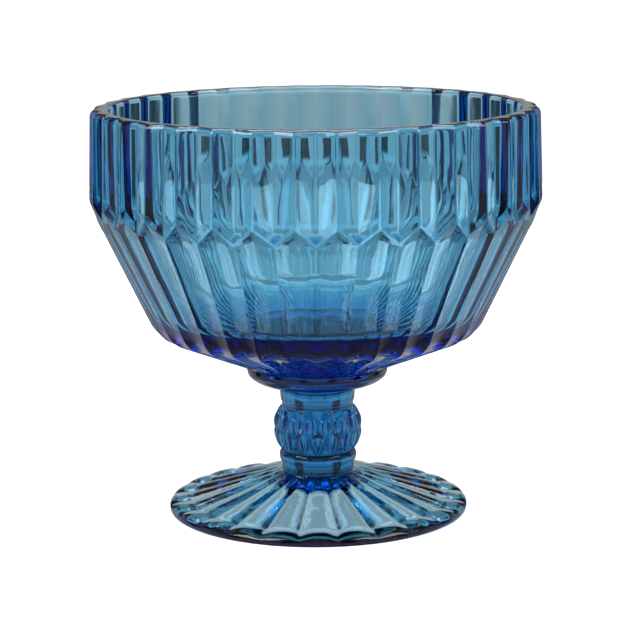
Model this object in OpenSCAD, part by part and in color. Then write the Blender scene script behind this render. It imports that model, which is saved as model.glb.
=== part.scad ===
// Footed dessert coupe of pressed blue glass: a ribbed bowl on a button,
// a petalled knop between two collars, and a gadrooned foot.
// +Z is up. The origin is the centre of the foot's resting face.

/* [Bowl] */
// Radius of the rib crests at the zigzag below the band
ridge_r = 55.1; // [50:0.1:60]
// Radius of the grooves at the zigzag
groove_r = 53.6; // [48:0.1:59]
// How much narrower the band is at the rim than at the zigzag
band_draft = 0.65; // [0:0.05:1.5]
// Number of ribs round the bowl
ribs = 36; // [24:2:48]
// Height of the rim above the table
rim_z = 100; // [90:0.5:120]
// Height of the low points of the zigzag
zigzag_z = 74.15; // [68:0.05:78]
// Inward run of the cone for each millimetre of height
cone_slope = 0.478; // [0.35:0.005:0.6]
// Radius of the rounded heel between the cone and the underside
heel_round = 8; // [3:0.5:10]
// Rise of the underside for each millimetre out from the button
under_slope = 0.4; // [0.3:0.01:0.5]
// How far the middle of each panel of the cone is hollowed
panel_flute = 0.5; // [0:0.1:1]
// Radius of the round opening
opening_r = 49.8; // [45:0.1:52]
// Thickness of the cone's wall, measured level
cone_wall = 4.7; // [3:0.1:7]
// Height of the bowl's inner floor
floor_z = 49.9; // [48:0.1:60]
// Radius of the rounded edge of the rim
rim_round = 1.6; // [0.8:0.1:2]

/* [Button] */
// Radius of the button under the bowl
button_r = 17.4; // [14:0.1:20]
// Height of the joint between the bowl and the button
button_top_z = 36.2; // [35:0.1:37.5]
// Height of the button's upright edge
button_edge = 1.3; // [0.5:0.1:2]

/* [Collars] */
// Height of the joint between the button and the upper collar
upper_collar_z = 31.1; // [29:0.1:32]
// Radius of the upper collar's ring
upper_ring_r = 9.25; // [8.5:0.05:10.5]
// Radius of the lower collar's ring
lower_ring_r = 9.55; // [8.5:0.05:10.5]
// Length of the plain neck under the upper ring
upper_neck = 1.1; // [0.5:0.1:1.5]
// Length of the plain neck over the upper ring
neck_gap = 0.5; // [0.2:0.1:0.8]
// Length of the plain neck under the lower ring
lower_neck = 2.1; // [0.5:0.1:2.5]
// Radius of the plain neck beside each ring
neck_r = 8.9; // [8:0.05:9.2]

/* [Knop] */
// Height of the joint between the upper collar and the knop
knop_top_z = 26; // [25:0.1:27]
// Height of the joint between the knop and the lower collar
knop_foot_z = 14.8; // [13.5:0.1:16]
// Number of petals in each of the two staggered rows
petals = 15; // [8:1:18]
// How far a petal stands out from the knop's core
petal_rise = 1.4; // [0.5:0.1:2.5]
// Extra radius of the core half way up the knop
core_swell = 0.75; // [0:0.05:2]

/* [Foot] */
// Radius of the foot at its edge
foot_r = 37; // [35:0.1:45]
// Height of the joint between the lower collar and the foot
foot_top_z = 9.7; // [8.5:0.1:12]
// Number of rounded ribs on the foot
foot_ribs = 24; // [16:2:32]
// Radius at which the ribs turn down to the edge
shoulder_r = 32; // [30:0.1:35]
// Height of the rib crests at that shoulder
shoulder_z = 3; // [2:0.1:5]
// Depth of the valleys between the ribs at the shoulder
rib_depth = 1.4; // [0:0.1:1.8]
// Thickness of the foot under the rib crests, measured upright
foot_wall = 3.3; // [2.8:0.1:6]
// Height of the hollow under the foot at its centre
hollow_h = 5.6; // [4:0.1:6]
// Radius of that hollow
hollow_r = 31; // [28:0.5:32]

/* [Hidden] */
$fn = 144;
glass_light = "SteelBlue";
glass_deep = "RoyalBlue";

half_pitch = 180 / ribs;
flat = cos(half_pitch);
edge_top_z = rim_z - rim_round;
peak_z = zigzag_z + (ridge_r / flat - groove_r) / cone_slope;
core_mid_z = (knop_top_z + knop_foot_z) / 2;
knop_half_h = (knop_top_z - knop_foot_z) / 2;
petal_half_h = knop_half_h * 0.66;
columns_per_petal = 6;
rows_in_knop = 16;
columns_per_rib = 6;
foot_fall = (foot_top_z - shoulder_z) / (shoulder_r - neck_r);

// Radius of the cone's panel edges at height z
function cone_r(z) = groove_r + cone_slope * (z - zigzag_z);

// One ring of the bowl: crests and grooves in turn, each with its radius and height
function rib_ring(crest, groove) = [
    for (k = [0 : 2 * ribs - 1])
        let (at = k % 2 == 1 ? crest : groove, a = k * half_pitch)
            [at[0] * cos(a), at[0] * sin(a), at[1]]
];

// A level ring of the panelled cone and underside, by its panel edges' radius
function panel_ring(r, z, flute) = rib_ring([r * flat - flute, z], [r, z]);

// A solid skinned over rings of equal length, from the lowest to the highest
module skin(rings) {
    n = len(rings[0]);
    points = [for (ring = rings) each ring];
    bottom = [[for (k = [0 : n - 1]) k]];
    top = [[for (k = [n - 1 : -1 : 0]) (len(rings) - 1) * n + k]];
    sides = [
        for (i = [0 : len(rings) - 2], k = [0 : n - 1])
            let (a = i * n + k, b = i * n + (k + 1) % n)
                each [[a, a + n, b], [b, a + n, b + n]]
    ];
    polyhedron(points = points, faces = concat(bottom, sides, top));
}

// Points (radius, height) round the heel, from the underside up to the cone
function heel_arc() =
    let (
        lean = atan(cone_slope),
        rise = atan(under_slope),
        slopes = cone_slope * under_slope,
        corner_r = (cone_r(button_top_z) - slopes * button_r) / (1 - slopes),
        corner_z = button_top_z + under_slope * (corner_r - button_r),
        back = heel_round / (1 + sin(lean + rise)),
        centre_r = corner_r - back * (cos(lean) + sin(rise)),
        centre_z = corner_z + back * (sin(lean) + cos(rise))
    )
        [
            for (i = [0 : 5])
                let (t = rise - 90 + (90 - rise - lean) * i / 5)
                    [centre_r + heel_round * cos(t), centre_z + heel_round * sin(t)]
        ];

// The bowl's ribbed outside as one solid, before the inside is taken out
module bowl_outside() {
    // The panels' hollows run out this far below the zigzag
    brow = 1.2;
    crest_top_r = ridge_r - band_draft;
    groove_top_r = groove_r - band_draft;
    skin([
        panel_ring(button_r, button_top_z, 0),
        for (p = heel_arc()) panel_ring(p[0], p[1], panel_flute),
        rib_ring(
            [cone_r(peak_z - brow) * flat - panel_flute, peak_z - brow],
            [cone_r(zigzag_z - brow), zigzag_z - brow]
        ),
        rib_ring([ridge_r, peak_z], [groove_r, zigzag_z]),
        rib_ring([crest_top_r, edge_top_z], [groove_top_r, edge_top_z]),
        rib_ring(
            [crest_top_r - 0.3 * rim_round, rim_z - 0.3 * rim_round],
            [groove_top_r - 0.2 * rim_round, rim_z - 0.3 * rim_round]
        ),
        rib_ring([crest_top_r - rim_round, rim_z], [groove_top_r - 0.7 * rim_round, rim_z])
    ]);
}

// The bowl's smooth inside: a straight wall, a cone and a flat floor with a round corner
module bowl_inside() {
    corner_r = 5;
    bend_r = 17;
    lip = 0.8;
    lean = atan(cone_slope);
    wall_z = zigzag_z + (opening_r + cone_wall - groove_r) / cone_slope;
    bend = bend_r * tan(lean / 2);
    corner = corner_r * tan((90 - lean) / 2);
    floor_r = cone_r(floor_z) - cone_wall;
    rotate_extrude()
        polygon(concat(
            [[0, floor_z]],
            [
                for (i = [0 : 6])
                    let (t = (90 - lean) * i / 6)
                        [floor_r - corner + corner_r * sin(t), floor_z + corner_r * (1 - cos(t))]
            ],
            [
                for (i = [6 : -1 : 0])
                    let (t = lean * i / 6)
                        [opening_r - bend_r * (1 - cos(t)), wall_z + bend - bend_r * sin(t)]
            ],
            [
                [opening_r, rim_z - lip],
                [opening_r + 0.3 * lip, rim_z - 0.3 * lip],
                [opening_r + lip, rim_z],
                [opening_r + lip, rim_z + 1],
                [0, rim_z + 1]
            ]
        ));
}

module bowl() {
    color(glass_light)
        difference() {
            bowl_outside();
            bowl_inside();
        }
}

// The round button that carries the bowl, drawn in towards the stem
module button() {
    edge_z = button_top_z - button_edge;
    color(glass_deep)
        rotate_extrude()
            polygon(concat(
                [[0, upper_collar_z]],
                [
                    for (t = [0 : 15 : 90])
                        [
                            neck_r + (button_r - neck_r) * sin(t),
                            edge_z - (edge_z - upper_collar_z) * cos(t)
                        ]
                ],
                [[button_r, button_top_z], [0, button_top_z]]
            ));
}

// A ring of half-round section with a plain neck above or below it
module collar(low_z, high_z, ring_low, ring_high, ring_r) {
    half = (ring_high - ring_low) / 2;
    rotate_extrude()
        polygon(concat(
            [[0, low_z], [neck_r, low_z]],
            [
                for (t = [-90 : 15 : 90])
                    [
                        neck_r + (ring_r - neck_r) * cos(t),
                        ring_low + half * (1 + sin(t))
                    ]
            ],
            [[neck_r, high_z], [0, high_z]]
        ));
}

module upper_collar() {
    color(glass_deep)
        collar(
            knop_top_z,
            upper_collar_z,
            knop_top_z + upper_neck,
            upper_collar_z - neck_gap,
            upper_ring_r
        );
}

// Rise of a lens-shaped petal at u widths and v half heights from its middle
function petal(u, v) =
    let (span = max(0, 1 - v * v), side = span > 0 ? abs(u) / span : 1)
        side < 1 ? petal_rise * span * pow(1 - side * side, 0.7) : 0;

// Distance of angle a from the nearest petal's middle, in half petals
function petal_u(a, shift) =
    let (pitch = 360 / petals, p = (a + shift) / pitch)
        2 * (p - round(p));

function knop_r(a, z) =
    let (
        mid = (z - core_mid_z) / knop_half_h,
        core = neck_r + core_swell * (1 - mid * mid),
        upper = petal(petal_u(a, 90 / petals), (z - knop_top_z) / petal_half_h + 1),
        lower = petal(petal_u(a, 270 / petals), (z - knop_foot_z) / petal_half_h - 1)
    )
        core + max(upper, lower);

module knop() {
    n = petals * columns_per_petal;
    color(glass_light)
        skin([
            for (i = [0 : rows_in_knop])
                let (z = knop_foot_z + (knop_top_z - knop_foot_z) * i / rows_in_knop)
                    [
                        for (k = [0 : n - 1])
                            let (a = 360 * k / n, r = knop_r(a, z))
                                [r * cos(a), r * sin(a), z]
                    ]
        ]);
}

module lower_collar() {
    color(glass_deep)
        collar(
            foot_top_z,
            knop_foot_z,
            foot_top_z + lower_neck,
            knop_foot_z - 0.1,
            lower_ring_r
        );
}

// Share of the full valley depth at angle a: none on a crest, all of it in a valley
function valley(a) = 1 - abs(cos(a * foot_ribs / 2));

// A ring of the foot, r out and z up at the crests, with valleys cut by depth
function foot_ring(r, z, depth) = [
    for (k = [0 : foot_ribs * columns_per_rib - 1])
        let (a = 360 * k / (foot_ribs * columns_per_rib))
            [r * cos(a), r * sin(a), z - depth * valley(a)]
];

// Height of the rib crests at radius r, between the neck and the shoulder
function crest_z(r) = foot_top_z - foot_fall * (r - neck_r);

// The foot's top: ribs spread from the neck to the shoulder and run down to the edge
module foot_outside() {
    edge_z = 1;
    inner_r = neck_r + 1.5;
    middle_r = (inner_r + shoulder_r) / 2;
    skin([
        foot_ring(foot_r - 0.2, 0, 0),
        foot_ring(foot_r, edge_z, 0),
        foot_ring((foot_r + shoulder_r) / 2, (edge_z + shoulder_z) / 2 + 0.35, rib_depth * 0.6),
        foot_ring(shoulder_r, shoulder_z, rib_depth),
        foot_ring(middle_r, crest_z(middle_r), rib_depth * 0.75),
        foot_ring(inner_r, crest_z(inner_r), rib_depth * 0.35),
        foot_ring(neck_r, foot_top_z, 0)
    ]);
}

// The cone hollowed out under the foot, which leaves an even wall below the ribs.
// It starts with a low lip at the resting ring and turns softly into its flat roof.
module foot_hollow() {
    lip = 0.8;
    soft = 0.5;
    turn_r = neck_r + (foot_top_z - foot_wall - hollow_h + soft) / foot_fall;
    rotate_extrude()
        polygon([
            [0, -1],
            [hollow_r, -1],
            [hollow_r, 0],
            [hollow_r - lip, crest_z(hollow_r - lip) - foot_wall],
            [turn_r, hollow_h - soft],
            [turn_r - 2 * soft, hollow_h - 0.4 * soft],
            [turn_r - 6 * soft, hollow_h],
            [0, hollow_h]
        ]);
}

module foot() {
    color(glass_light)
        difference() {
            foot_outside();
            foot_hollow();
        }
}

bowl();
button();
upper_collar();
knop();
lower_collar();
foot();
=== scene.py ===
import math

import bmesh
import bpy
from mathutils import Matrix, Vector


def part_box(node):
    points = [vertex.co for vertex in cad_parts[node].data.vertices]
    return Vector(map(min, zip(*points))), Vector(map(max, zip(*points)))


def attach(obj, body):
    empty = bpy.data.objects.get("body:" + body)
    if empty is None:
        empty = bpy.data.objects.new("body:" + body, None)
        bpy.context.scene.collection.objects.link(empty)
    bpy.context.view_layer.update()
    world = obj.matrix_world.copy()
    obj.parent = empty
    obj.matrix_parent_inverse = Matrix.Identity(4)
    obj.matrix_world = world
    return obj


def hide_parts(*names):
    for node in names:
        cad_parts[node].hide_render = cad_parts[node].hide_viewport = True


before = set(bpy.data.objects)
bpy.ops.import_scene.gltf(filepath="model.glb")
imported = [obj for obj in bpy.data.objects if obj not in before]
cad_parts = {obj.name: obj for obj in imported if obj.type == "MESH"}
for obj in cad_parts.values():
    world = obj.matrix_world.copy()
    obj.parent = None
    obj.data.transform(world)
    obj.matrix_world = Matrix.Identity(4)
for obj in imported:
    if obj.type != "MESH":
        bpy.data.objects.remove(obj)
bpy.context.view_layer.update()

# The glass is laid out in millimetres and scaled to metres when a piece is finished.
MM = 0.001


def node_heights(node):
    """The lowest and highest level of a piece, in millimetres."""
    low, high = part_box(node)
    return low.z / MM, high.z / MM


def node_radius(node):
    """Half the width of a piece, in millimetres."""
    low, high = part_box(node)
    return (high.x - low.x) / 2 / MM


# Counts of what repeats round the axis
RIBS = 36
PETALS = 15
GADROONS = 24

# Levels of the joints, and the radii that the pieces share
BOWL_FOOT, RIM = node_heights("bowl")
BUTTON_FOOT = node_heights("button")[0]
KNOP_FOOT, KNOP_TOP = node_heights("knop")
FOOT_TOP = node_heights("foot")[1]
FOOT_R = node_radius("foot")
BUTTON_R = node_radius("button")
HALF_PITCH = math.pi / RIBS
RIDGE_R = node_radius("bowl") / math.cos(HALF_PITCH)
NECK_R = 8.9

# The bowl's ribs: their depth, and how much narrower the band is at the rim
RIB_DEPTH = 1.5
GROOVE_R = RIDGE_R - RIB_DEPTH
DRAFT = 0.65

# The zigzag's low points, the cone below it, the heel's round and the underside
ZIGZAG_LOW = 74.15
CONE_SLOPE = 0.478
HEEL_ROUND = 8
UNDER_SLOPE = 0.4

# How far a panel's middle is hollowed, on the underside and on the cone
FLUTE = 0.7
CONE_FLUTE = 0.5

# Share of a half rib over which its crest and groove are softened
EDGE_SOFT = 0.095

# How far the zigzag is softened above and below, and how far below it the hollows run out
ZIGZAG_SOFT = 0.8
HOLLOW_END = 2.4

# The rim's rounded edge: its height, and how far it turns in at a crest
RIM_HEIGHT = 1.8
RIM_TURN = 1.7

# The bowl's inside: the opening, the wall measured level, the floor and their rounds
OPENING_R = 49.8
WALL = 4.7
FLOOR = 49.9
BEND_R = 17
CORNER_R = 5
LIP = 0.9
MOUTH_R = 51.9

# A joint's plug reaches this far into the next piece, so that the glass runs on without a gap
PLUG = 0.15
# Radius of the plug's foot and of its root, under the bowl and on the stem
BOWL_PLUG = (15.5, 15.9)
STEM_PLUG = (8.2, 8.4)

# The button's upright edge
BUTTON_EDGE = 1.3

# Each collar's ring: its radius, and the plain neck below and above it
UPPER_RING = (9.3, 1.1, 0.5)
LOWER_RING = (9.55, 2.15, 0.15)

# The knop's petals and core
PETAL_RISE = 1.4
PETAL_ROUND = 0.7
PETAL_SHARE = 0.66
CORE_SWELL = 0.75
KNOP_COLUMNS = 24
KNOP_ROWS = 56

# The foot's rib crests at the shoulder, its valleys, its wall and the hollow beneath it
SHOULDER_R = 32
SHOULDER = 3.0
VALLEY_DEPTH = 1.2
VALLEY_SOFT = 0.02
FOOT_WALL = 3.3
HOLLOW_R = 31
HOLLOW_H = 5.6
FOOT_COLUMNS = 24


# ---------------------------------------------------------------- mesh helpers

def arc(centre, radius, start, end, steps):
    """Points on a round stretch of an outline, from start to end degrees."""
    points = []
    for i in range(steps + 1):
        a = math.radians(start + (end - start) * i / steps)
        points.append((centre[0] + radius[0] * math.cos(a), centre[1] + radius[1] * math.sin(a)))
    return points


def turned(name, outline, repeats, columns, shape=None):
    """A closed piece turned about the axis from an outline of (radius, height) points.

    One repeat of the pattern is turned in so many columns and shaped, and its copies
    complete the turn. shape(row, column, radius, height) gives a vertex's angle, radius
    and height.
    """
    bm = bmesh.new()
    row_of = bm.verts.layers.int.new("row")
    profile = []
    for i, (r, z) in enumerate(outline):
        v = bm.verts.new((r, 0, z))
        v[row_of] = i
        profile.append(v)
    edges = [bm.edges.new(pair) for pair in zip(profile, profile[1:])]
    step = 2 * math.pi / repeats / columns
    about = {"cent": (0, 0, 0), "axis": (0, 0, 1), "dvec": (0, 0, 0)}
    bmesh.ops.spin(bm, geom=profile + edges, angle=step * columns, steps=columns, **about)
    bmesh.ops.remove_doubles(bm, verts=bm.verts[:], dist=1e-4)
    if shape:
        for v in bm.verts:
            r = math.hypot(v.co.x, v.co.y)
            if r > 1e-3:
                column = round(math.atan2(v.co.y, v.co.x) / step)
                a, r, z = shape(v[row_of], column, r, v.co.z)
                v.co = (r * math.cos(a), r * math.sin(a), z)
    sector = bm.verts[:] + bm.edges[:] + bm.faces[:]
    rest = 2 * math.pi * (1 - 1 / repeats)
    bmesh.ops.spin(bm, geom=sector, angle=rest, steps=repeats - 1, use_duplicate=True, **about)
    bmesh.ops.remove_doubles(bm, verts=bm.verts[:], dist=1e-3)
    bmesh.ops.recalc_face_normals(bm, faces=bm.faces[:])
    bmesh.ops.scale(bm, vec=(MM, MM, MM), verts=bm.verts[:])
    for f in bm.faces:
        f.smooth = True
    mesh = bpy.data.meshes.new(name)
    bm.to_mesh(mesh)
    bm.free()
    piece = bpy.data.objects.new(name, mesh)
    bpy.context.collection.objects.link(piece)
    return piece


# ---------------------------------------------------------------- bowl

def cone_r(z):
    """Radius of the cone's panel edges at height z."""
    return GROOVE_R + CONE_SLOPE * (z - ZIGZAG_LOW)


# Share of a half rib at which the columns of its mesh lie, from the groove to the crest
STOPS = (0, 0.032, 0.064, 0.095, 0.13, 0.5, 0.87, 0.905, 0.936, 0.968, 1)


def heel_centre():
    """The middle of the heel's round, and how far cone and underside lean, in radians."""
    lean, rise = math.atan(CONE_SLOPE), math.atan(UNDER_SLOPE)
    slopes = CONE_SLOPE * UNDER_SLOPE
    corner_r = (cone_r(BOWL_FOOT) - slopes * BUTTON_R) / (1 - slopes)
    corner_z = BOWL_FOOT + UNDER_SLOPE * (corner_r - BUTTON_R)
    back = HEEL_ROUND / (1 + math.sin(lean + rise))
    return ((corner_r - back * (math.cos(lean) + math.sin(rise)),
             corner_z + back * (math.sin(lean) + math.cos(rise))), lean, rise)


def zigzag_soft(away):
    """How far the glass draws in at a height away from the zigzag, to soften its edge."""
    return CONE_SLOPE / 4 * max(0, ZIGZAG_SOFT - away) ** 2 / ZIGZAG_SOFT


def bowl_rows():
    """The bowl's outside from the foot of the underside up to the rim.

    Each row is (groove radius, groove height, crest radius, crest height, scoop radius,
    scoop height). The scoop is how far the middle of a panel is drawn into the glass.
    """
    flat = math.cos(HALF_PITCH)
    peak = ZIGZAG_LOW + (RIDGE_R / flat - GROOVE_R) / CONE_SLOPE
    rows = []

    heel, lean, rise = heel_centre()
    low_r, low_z = heel[0] + HEEL_ROUND * math.sin(rise), heel[1] - HEEL_ROUND * math.cos(rise)
    for share in (0, 0.12, 0.25, 0.4, 0.55, 0.7, 0.85):
        depth = FLUTE * min(1, share / 0.4)
        r = BUTTON_R + (low_r - BUTTON_R) * share
        z = BOWL_FOOT + (low_z - BOWL_FOOT) * share
        rows.append((r, z, r * flat, z, -depth * math.sin(rise), depth * math.cos(rise)))
    steps = 12
    for i in range(steps + 1):
        share = 1 - i / steps
        tilt = -lean - (math.pi / 2 - rise - lean) * share
        r, z = heel[0] + HEEL_ROUND * math.cos(tilt), heel[1] + HEEL_ROUND * math.sin(tilt)
        depth = CONE_FLUTE + (FLUTE - CONE_FLUTE) * min(1, share / 0.5)
        rows.append((r, z, r * flat, z, -depth * math.cos(tilt), -depth * math.sin(tilt)))
    inward, upward = -CONE_FLUTE * math.cos(lean), CONE_FLUTE * math.sin(lean)
    for z in (49.5, 54, 60, 66, 70.5):
        rows.append((cone_r(z), z, cone_r(z) * flat, z, inward, upward))

    for drop in (HOLLOW_END, 1.6, 0.8, 0.4):
        sunk = drop / HOLLOW_END
        fall = CONE_SLOPE * drop
        soft = zigzag_soft(drop)
        rows.append((GROOVE_R - fall - soft, ZIGZAG_LOW - drop,
                     RIDGE_R - fall * flat - soft, peak - drop, inward * sunk, upward * sunk))
    soft = zigzag_soft(0)
    rows.append((GROOVE_R - soft, ZIGZAG_LOW, RIDGE_R - soft, peak, 0, 0))
    top = RIM - RIM_HEIGHT
    for rise in (0.4, 0.8, 1.6):
        soft = zigzag_soft(rise)
        lean = DRAFT * rise / (top - peak)
        rows.append((GROOVE_R - lean - soft, ZIGZAG_LOW + rise,
                     RIDGE_R - lean - soft, peak + rise, 0, 0))
    for share in (0.3, 0.6, 1):
        lean = DRAFT * share
        rows.append((GROOVE_R - lean, ZIGZAG_LOW + (top - ZIGZAG_LOW) * share,
                     RIDGE_R - lean, peak + (top - peak) * share, 0, 0))
    for a in (15, 30, 45, 60, 75, 90):
        cut = RIM_TURN * (1 - math.cos(math.radians(a)))
        rise = RIM_HEIGHT * math.sin(math.radians(a))
        rows.append((GROOVE_R - DRAFT - 0.75 * cut, top + rise,
                     RIDGE_R - DRAFT - cut, top + rise, 0, 0))
    return rows


def bowl_inside():
    """The smooth inside from the rim down to the middle of the floor."""
    lean = math.degrees(math.atan(CONE_SLOPE))
    wall_foot = ZIGZAG_LOW + (OPENING_R + WALL - GROOVE_R) / CONE_SLOPE
    bend = BEND_R * math.tan(math.radians(lean / 2))
    corner = CORNER_R * math.tan(math.radians((90 - lean) / 2))
    floor_r = cone_r(FLOOR) - WALL
    points = [(MOUTH_R, RIM)]
    points += arc((OPENING_R + LIP, RIM - LIP), (LIP, LIP), 90, 180, 6)
    points += [(OPENING_R, z) for z in (RIM - 2, 92, 85)]
    points += arc((OPENING_R - BEND_R, wall_foot + bend), (BEND_R, BEND_R), 0, -lean, 8)
    points += [(cone_r(z) - WALL, z) for z in (68, 63, 59)]
    points += arc((floor_r - corner, FLOOR + CORNER_R), (CORNER_R, CORNER_R), -lean, -90, 9)
    points += [(r, FLOOR) for r in (33, 22, 11, 0)]
    return points


def make_bowl():
    rows = bowl_rows()
    plug_foot, plug_root = BOWL_PLUG
    plug = [(0, BOWL_FOOT - PLUG), (plug_foot, BOWL_FOOT - PLUG),
            (plug_root - 0.1, BOWL_FOOT - PLUG / 2), (plug_root, BOWL_FOOT)]
    outline = plug + [(row[0], row[1]) for row in rows] + bowl_inside()
    first = len(plug)
    per_half = len(STOPS) - 1

    def shape(row, column, r, z):
        half, within = divmod(column, per_half)
        share = STOPS[within]
        angle = (half + share) * HALF_PITCH
        if half % 2:
            share = 1 - share
        if not first <= row < first + len(rows):
            return angle, r, z
        gr, gz, cr, cz, scoop_r, scoop_z = rows[row - first]
        phi = share * HALF_PITCH
        span = gr * math.sin(phi) + cr * math.sin(HALF_PITCH - phi)
        r = gr * cr * math.sin(HALF_PITCH) / span
        z = gz + (cz - gz) * gr * math.sin(phi) / span
        soft = EDGE_SOFT * HALF_PITCH * r
        if share < EDGE_SOFT:
            slope = (cr * math.cos(HALF_PITCH) - gr) / (cr * math.sin(HALF_PITCH))
            r += slope * soft / 2 * (1 - share / EDGE_SOFT) ** 2
        if share > 1 - EDGE_SOFT:
            slope = (gr * math.cos(HALF_PITCH) - cr) / (gr * math.sin(HALF_PITCH))
            r += slope * soft / 2 * (1 - (1 - share) / EDGE_SOFT) ** 2
        sunk = share * (2 - share)
        return angle, r + scoop_r * sunk, z + scoop_z * sunk

    return turned("glass_bowl", outline, RIBS, 2 * per_half, shape)


# ---------------------------------------------------------------- stem

def stem_plug(level):
    """The outline of the plug that joins a piece to the one under it at this level."""
    plug_foot, plug_root = STEM_PLUG
    return [(0, level - PLUG), (plug_foot, level - PLUG), (plug_root, level)]


def make_button():
    edge = BOWL_FOOT - BUTTON_EDGE
    points = stem_plug(BUTTON_FOOT)
    points += arc((NECK_R, edge), (BUTTON_R - NECK_R, edge - BUTTON_FOOT), -90, 0, 18)
    points += [(BUTTON_R, BOWL_FOOT - 0.3), (BUTTON_R - 0.1, BOWL_FOOT - 0.05),
               (BUTTON_R - 0.3, BOWL_FOOT), (9, BOWL_FOOT), (0, BOWL_FOOT)]
    return turned("glass_button", points, 48, 5)


def make_collar(name, low, high, ring):
    """A collar: a soft ring with a plain neck above and below it, and a plug under it."""
    ring_r, neck_below, neck_above = ring
    ring_low = low + neck_below
    half = (high - neck_above - ring_low) / 2
    points = stem_plug(low)
    points += [(NECK_R, low), (NECK_R, low + 0.1), (NECK_R, ring_low - 0.1)]
    points += arc((NECK_R + 0.02, ring_low + half), (ring_r - NECK_R, half), -86, 86, 18)
    points += [(NECK_R, high), (NECK_R - 0.5, high), (0, high)]
    return turned(name, points, 40, 5)


def make_upper_collar():
    return make_collar("glass_upper_collar", KNOP_TOP, BUTTON_FOOT, UPPER_RING)


def make_lower_collar():
    return make_collar("glass_lower_collar", FOOT_TOP, KNOP_FOOT, LOWER_RING)


def petal(u, v):
    """Height of a lens-shaped petal at u half widths and v half heights from its middle."""
    span = 1 - v * v
    if span <= 0 or abs(u) >= span:
        return 0
    return span * (1 - (u / span) ** 2) ** PETAL_ROUND


def make_knop():
    h = (KNOP_TOP - KNOP_FOOT) / 2
    middle = KNOP_FOOT + h
    petal_h = PETAL_SHARE * h
    points = stem_plug(KNOP_FOOT) + [(8.6, KNOP_FOOT)]
    first = len(points)
    points += [(NECK_R, KNOP_FOOT + 2 * h * i / KNOP_ROWS) for i in range(KNOP_ROWS + 1)]
    points += [(8.5, KNOP_TOP), (0, KNOP_TOP)]

    def shape(row, column, r, z):
        turn = column / KNOP_COLUMNS
        angle = turn * 2 * math.pi / PETALS
        if not first <= row <= first + KNOP_ROWS:
            return angle, r, z
        core = NECK_R + CORE_SWELL * (1 - ((z - middle) / h) ** 2)
        rise = 0
        for shift, centre in ((0.25, KNOP_TOP - petal_h), (0.75, KNOP_FOOT + petal_h)):
            u = 2 * (turn + shift - round(turn + shift))
            rise = max(rise, petal(u, (z - centre) / petal_h))
        return angle, core + PETAL_RISE * rise, z

    return turned("glass_knop", points, PETALS, KNOP_COLUMNS, shape)


# ---------------------------------------------------------------- foot

def crest(r):
    """Height of the foot's rib crests at radius r, between the neck and the shoulder."""
    return FOOT_TOP - (FOOT_TOP - SHOULDER) / (SHOULDER_R - NECK_R) * (r - NECK_R)


def foot_underside():
    """The hollow from its flat roof down to the resting ring, and out along the ring."""
    fall = (FOOT_TOP - SHOULDER) / (SHOULDER_R - NECK_R)
    turn_r = NECK_R + (FOOT_TOP - FOOT_WALL - HOLLOW_H) / fall
    points = [(0, HOLLOW_H), (turn_r - 4, HOLLOW_H), (turn_r - 2, HOLLOW_H - 0.05),
              (turn_r, HOLLOW_H - 0.2)]
    inner, outer, steps = turn_r + 2, HOLLOW_R - 0.8, 11
    for i in range(steps + 1):
        r = inner + (outer - inner) * i / steps
        points.append((r, crest(r) - FOOT_WALL))
    return points + [(HOLLOW_R - 0.3, 0.08), (HOLLOW_R, 0), (FOOT_R - 1.4, 0), (FOOT_R - 0.4, 0)]


def make_foot():
    brow_r = SHOULDER_R - 0.5
    bottom = foot_underside()
    edge = arc((FOOT_R - 0.4, 0.9), (0.4, 0.9), -75, 0, 5)
    brow = arc((brow_r, 1.0), (FOOT_R - brow_r, SHOULDER - 0.86), 6, 80, 10)
    slope = []
    for i in range(23):
        r = SHOULDER_R - (SHOULDER_R - NECK_R) * i / 22
        slope.append((r, crest(r)))
    top = [(STEM_PLUG[1], FOOT_TOP), (0, FOOT_TOP)]
    points = bottom + edge + brow + slope + top
    first = len(bottom) + len(edge)
    last = len(points) - len(top) - 1

    def shape(row, column, r, z):
        angle = column / FOOT_COLUMNS * 2 * math.pi / GADROONS
        if not first <= row <= last:
            return angle, r, z
        inward = (r - NECK_R) / (SHOULDER_R - NECK_R)
        depth = VALLEY_DEPTH * min(1, max(0, inward)) ** 0.8
        if r > brow_r:
            depth *= max(0, (FOOT_R - r) / (FOOT_R - brow_r)) ** 0.5
        wave = math.cos(angle * GADROONS / 2)
        valley = max(0, 1 - math.sqrt(wave * wave + VALLEY_SOFT)) ** 1.4
        return angle, r, z - depth * valley

    return turned("glass_foot", points, GADROONS, FOOT_COLUMNS, shape)


# ---------------------------------------------------------------- glass

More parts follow.
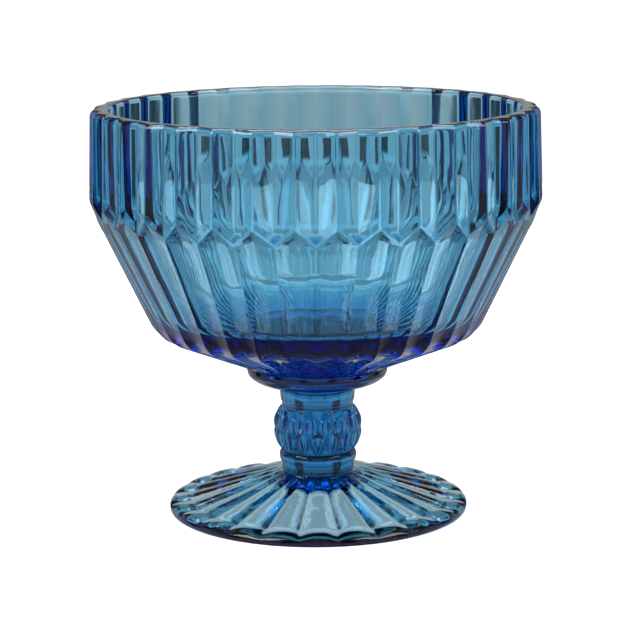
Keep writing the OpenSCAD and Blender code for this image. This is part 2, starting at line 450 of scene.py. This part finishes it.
def blue_glass():
    """Clear pressed glass, tinted through its depth, with the faint ripple of the mould."""
    mat = bpy.data.materials.new("blue_glass")
    mat.use_nodes = True
    nodes, links = mat.node_tree.nodes, mat.node_tree.links
    shader = nodes["Principled BSDF"]
    shader.inputs["Base Color"].default_value = (1, 1, 1, 1)
    shader.inputs["Roughness"].default_value = 0.0
    shader.inputs["IOR"].default_value = 1.52
    shader.inputs["Transmission Weight"].default_value = 1.0

    coords = nodes.new("ShaderNodeTexCoord")
    stretch = nodes.new("ShaderNodeMapping")
    stretch.inputs["Scale"].default_value = (1, 1, 0.3)
    ripple = nodes.new("ShaderNodeTexNoise")
    ripple.inputs["Scale"].default_value = 160
    ripple.inputs["Detail"].default_value = 2
    bump = nodes.new("ShaderNodeBump")
    bump.inputs["Strength"].default_value = 0.25
    bump.inputs["Distance"].default_value = 0.0004
    links.new(coords.outputs["Object"], stretch.inputs["Vector"])
    links.new(stretch.outputs["Vector"], ripple.inputs["Vector"])
    links.new(ripple.outputs["Fac"], bump.inputs["Height"])
    links.new(bump.outputs["Normal"], shader.inputs["Normal"])

    tint = nodes.new("ShaderNodeVolumeAbsorption")
    tint.inputs["Color"].default_value = (0.0, 0.68, 0.90, 1)
    tint.inputs["Density"].default_value = 220
    links.new(tint.outputs["Volume"], nodes["Material Output"].inputs["Volume"])
    return mat


# ---------------------------------------------------------------- studio

def make_floor():
    """A pale round table top, which the glass stands on but doesn't mirror."""
    bm = bmesh.new()
    bmesh.ops.create_circle(bm, cap_ends=True, segments=96, radius=0.6)
    mesh = bpy.data.meshes.new("floor")
    bm.to_mesh(mesh)
    bm.free()
    floor = bpy.data.objects.new("floor", mesh)
    bpy.context.collection.objects.link(floor)
    mat = bpy.data.materials.new("pale_floor")
    mat.use_nodes = True
    shader = mat.node_tree.nodes["Principled BSDF"]
    shader.inputs["Base Color"].default_value = (0.9, 0.9, 0.9, 1)
    shader.inputs["Roughness"].default_value = 0.9
    mesh.materials.append(mat)
    floor.visible_glossy = False
    floor.visible_transmission = False
    return floor


def softbox(name, place, aim, size, power):
    """A soft lamp of a width and depth in metres, turned towards a point."""
    light = bpy.data.lights.new(name, "AREA")
    light.shape = "RECTANGLE"
    light.size, light.size_y = size
    light.energy = power
    lamp = bpy.data.objects.new(name, light)
    bpy.context.collection.objects.link(lamp)
    lamp.location = place
    back = lamp.location - aim
    lamp.rotation_euler = back.to_track_quat("Z", "Y").to_euler()
    lamp.visible_camera = False
    return lamp


# The plain light that reaches the floor and the eye
WHITE = (1.1, 1.1, 1.1, 1)

# The grey surround that shows in the glass, from straight down to straight up: the sine
# of the elevation and the light from there
SURROUND = (
    (-1.00, 0.30),
    (-0.80, 0.15),
    (-0.64, 0.75),
    (-0.50, 0.75),
    (-0.40, 0.45),
    (-0.26, 0.45),
    (-0.245, 0.72),
    (-0.215, 0.72),
    (-0.20, 0.62),
    (-0.15, 0.61),
    (-0.135, 0.45),
    (-0.04, 0.45),
    (0.02, 0.45),
    (0.30, 0.45),
    (0.40, 0.28),
    (0.90, 0.28),
    (1.00, 0.50),
)

# Dark flags that stand round the glass: their number, where their soft sides lie on the
# wave that repeats them, where they end below as sines of the elevation, and their grey
FLAGS = 8
FLAG_SIDE = (-0.85, -0.5)
FLAG_FOOT = (-0.215, -0.19)
FLAG_TINT = (0.05, 0.05, 0.05, 1)

# Each lamp's place, width and depth in metres, and its power in watts
LAMPS = {
    "key": ((-0.9, -0.5, 1.1), (0.9, 0.9), 18),
    "fill": ((0.9, -0.4, 1.1), (0.9, 0.9), 12),
    "top": ((0, 0.6, 1.4), (1.2, 0.8), 14),
}
# The point half way up the glass that the lamps are turned to
LAMP_AIM = Vector((0, 0, 0.05))


def studio():
    """White light for the floor and the eye, a grey surround for the glass, and lamps."""
    world = bpy.data.worlds.new("studio")
    bpy.context.scene.world = world
    world.use_nodes = True
    nodes, links = world.node_tree.nodes, world.node_tree.links

    def maths(operation, first, second):
        """A maths node fed by a socket and by a second socket or number."""
        node = nodes.new("ShaderNodeMath")
        node.operation = operation
        links.new(first, node.inputs[0])
        if isinstance(second, (int, float)):
            node.inputs[1].default_value = second
        else:
            links.new(second, node.inputs[1])
        return node

    def mapped(value, low, high):
        """A value's place between low and high, as a share."""
        node = nodes.new("ShaderNodeMapRange")
        node.inputs["From Min"].default_value = low
        node.inputs["From Max"].default_value = high
        links.new(value, node.inputs["Value"])
        return node

    def mixed(share, first, second):
        """A mix of two colours, each from a socket or given as a value."""
        node = nodes.new("ShaderNodeMixRGB")
        links.new(share, node.inputs["Fac"])
        for source, name in ((first, "Color1"), (second, "Color2")):
            if isinstance(source, tuple):
                node.inputs[name].default_value = source
            else:
                links.new(source, node.inputs[name])
        return node.outputs["Color"]

    coords = nodes.new("ShaderNodeTexCoord")
    split = nodes.new("ShaderNodeSeparateXYZ")
    links.new(coords.outputs["Generated"], split.inputs["Vector"])
    up = split.outputs["Z"]

    ramp = nodes.new("ShaderNodeValToRGB")
    stops = ramp.color_ramp.elements
    for stop, (sine, light) in zip(stops, (SURROUND[0], SURROUND[-1])):
        stop.position = (sine + 1) / 2
        stop.color = (light, light, light, 1)
    for sine, light in SURROUND[1:-1]:
        stops.new((sine + 1) / 2).color = (light, light, light, 1)
    links.new(mapped(up, -1, 1).outputs["Result"], ramp.inputs["Fac"])

    turn = maths("ARCTAN2", split.outputs["Y"], split.outputs["X"]).outputs["Value"]
    wave = maths("COSINE", maths("MULTIPLY", turn, FLAGS).outputs["Value"], 0).outputs["Value"]
    between = mapped(wave, *FLAG_SIDE)
    between.interpolation_type = "SMOOTHSTEP"
    below = mapped(up, FLAG_FOOT[1], FLAG_FOOT[0])
    clear = maths("MAXIMUM", between.outputs["Result"], below.outputs["Result"])
    surround = mixed(clear.outputs["Value"], FLAG_TINT, ramp.outputs["Color"])

    path = nodes.new("ShaderNodeLightPath")
    plain = maths("MAXIMUM", path.outputs["Is Camera Ray"], path.outputs["Diffuse Depth"])
    plain.use_clamp = True
    light = mixed(plain.outputs["Value"], surround, WHITE)
    links.new(light, nodes["Background"].inputs["Color"])

    for name, (place, size, power) in LAMPS.items():
        softbox(name, Vector(place), LAMP_AIM, size, power)


def camera():
    """A view slightly from above, as across a table."""
    distance, height = 0.5467, 0.15587
    down, roll = 0.1953, -0.008
    data = bpy.data.cameras.new("camera")
    data.sensor_width = 36
    data.lens = 128.3
    data.shift_x = 0.001
    cam = bpy.data.objects.new("camera", data)
    bpy.context.collection.objects.link(cam)
    tilt = Matrix.Rotation(math.pi / 2 - down, 4, "X") @ Matrix.Rotation(roll, 4, "Z")
    cam.matrix_world = Matrix.Translation((0, -distance, height)) @ tilt
    bpy.context.scene.camera = cam


# ---------------------------------------------------------------- put together

GLASS = blue_glass()
MAKERS = {
    "bowl": make_bowl,
    "button": make_button,
    "upper_collar": make_upper_collar,
    "knop": make_knop,
    "lower_collar": make_lower_collar,
    "foot": make_foot,
}
for node, make in MAKERS.items():
    piece = make()
    piece.data.materials.append(GLASS)
    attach(piece, "root")
    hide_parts(node)

make_floor()
studio()
camera()
bpy.context.scene.view_settings.view_transform = "Standard"
